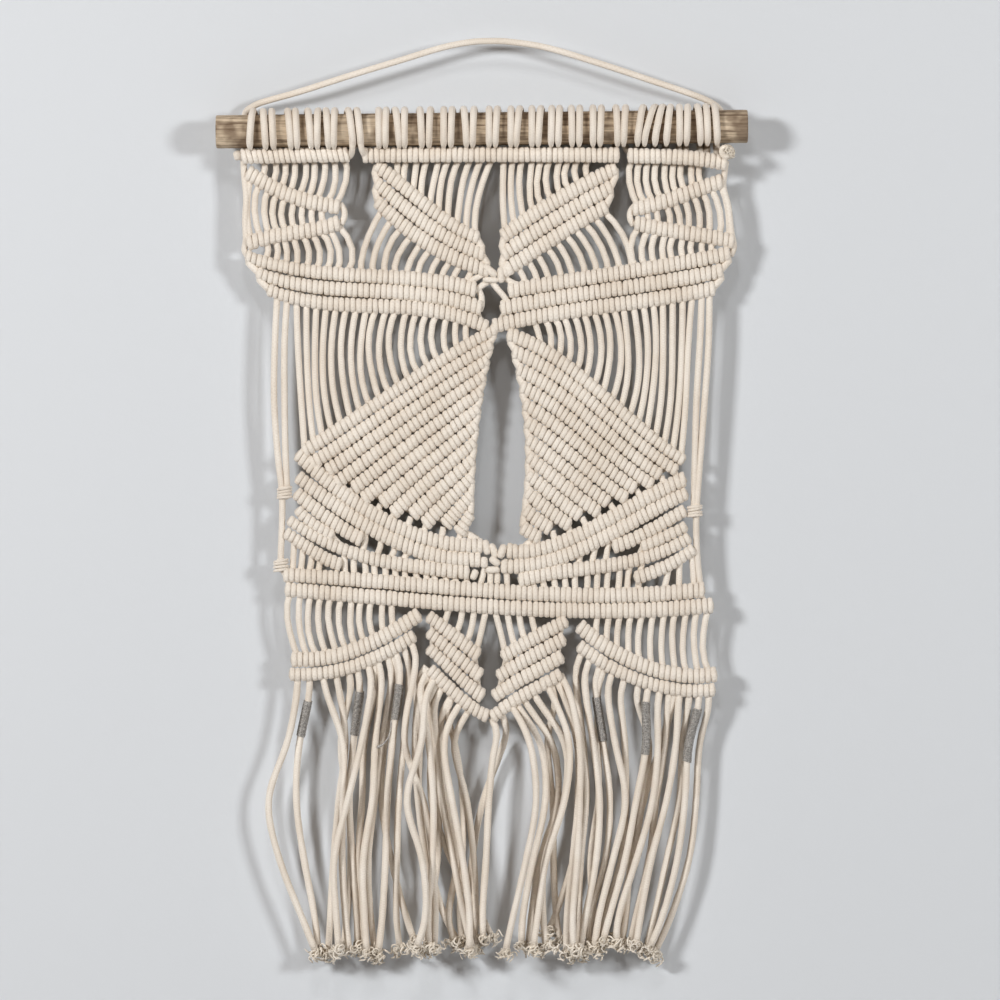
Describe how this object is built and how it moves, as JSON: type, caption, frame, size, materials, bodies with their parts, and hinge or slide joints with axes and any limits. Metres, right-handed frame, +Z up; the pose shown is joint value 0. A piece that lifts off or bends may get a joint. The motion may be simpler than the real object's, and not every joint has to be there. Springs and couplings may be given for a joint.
{
  "type": "macrame wall hanging with wooden dowel",
  "caption": "Knotted cotton macrame panel with a spread-wing pattern and a long loose fringe, looped over a plain round wooden dowel that hangs by one cord from a nail.",
  "frame": {"origin": "the nail point: the underside of the hanging cord at its peak", "axes": "+Z up, +X to the right seen from the front, +Y towards the wall, so the knotted front faces -Y"},
  "size_m": [0.305, 0.028, 0.5269],
  "materials": {
    "cotton_cord": "natural cream cotton cord, matt and slightly fuzzy",
    "dowel_wood": "bare dry wood, matt",
    "grey_metallic_thread": "grey thread with a faint metallic glint"
  },
  "bodies": {
    "root": {"dowel": "dowel_wood", "hanging_cord": "cotton_cord", "end_knot": "cotton_cord", "macrame_panel": "cotton_cord", "fringe_left": "cotton_cord", "fringe_middle": "cotton_cord", "fringe_right": "cotton_cord", "winding_1": "grey_metallic_thread", "winding_2": "grey_metallic_thread", "winding_3": "grey_metallic_thread", "winding_4": "grey_metallic_thread", "winding_5": "grey_metallic_thread", "winding_6": "grey_metallic_thread"}
  },
  "joints": []
}
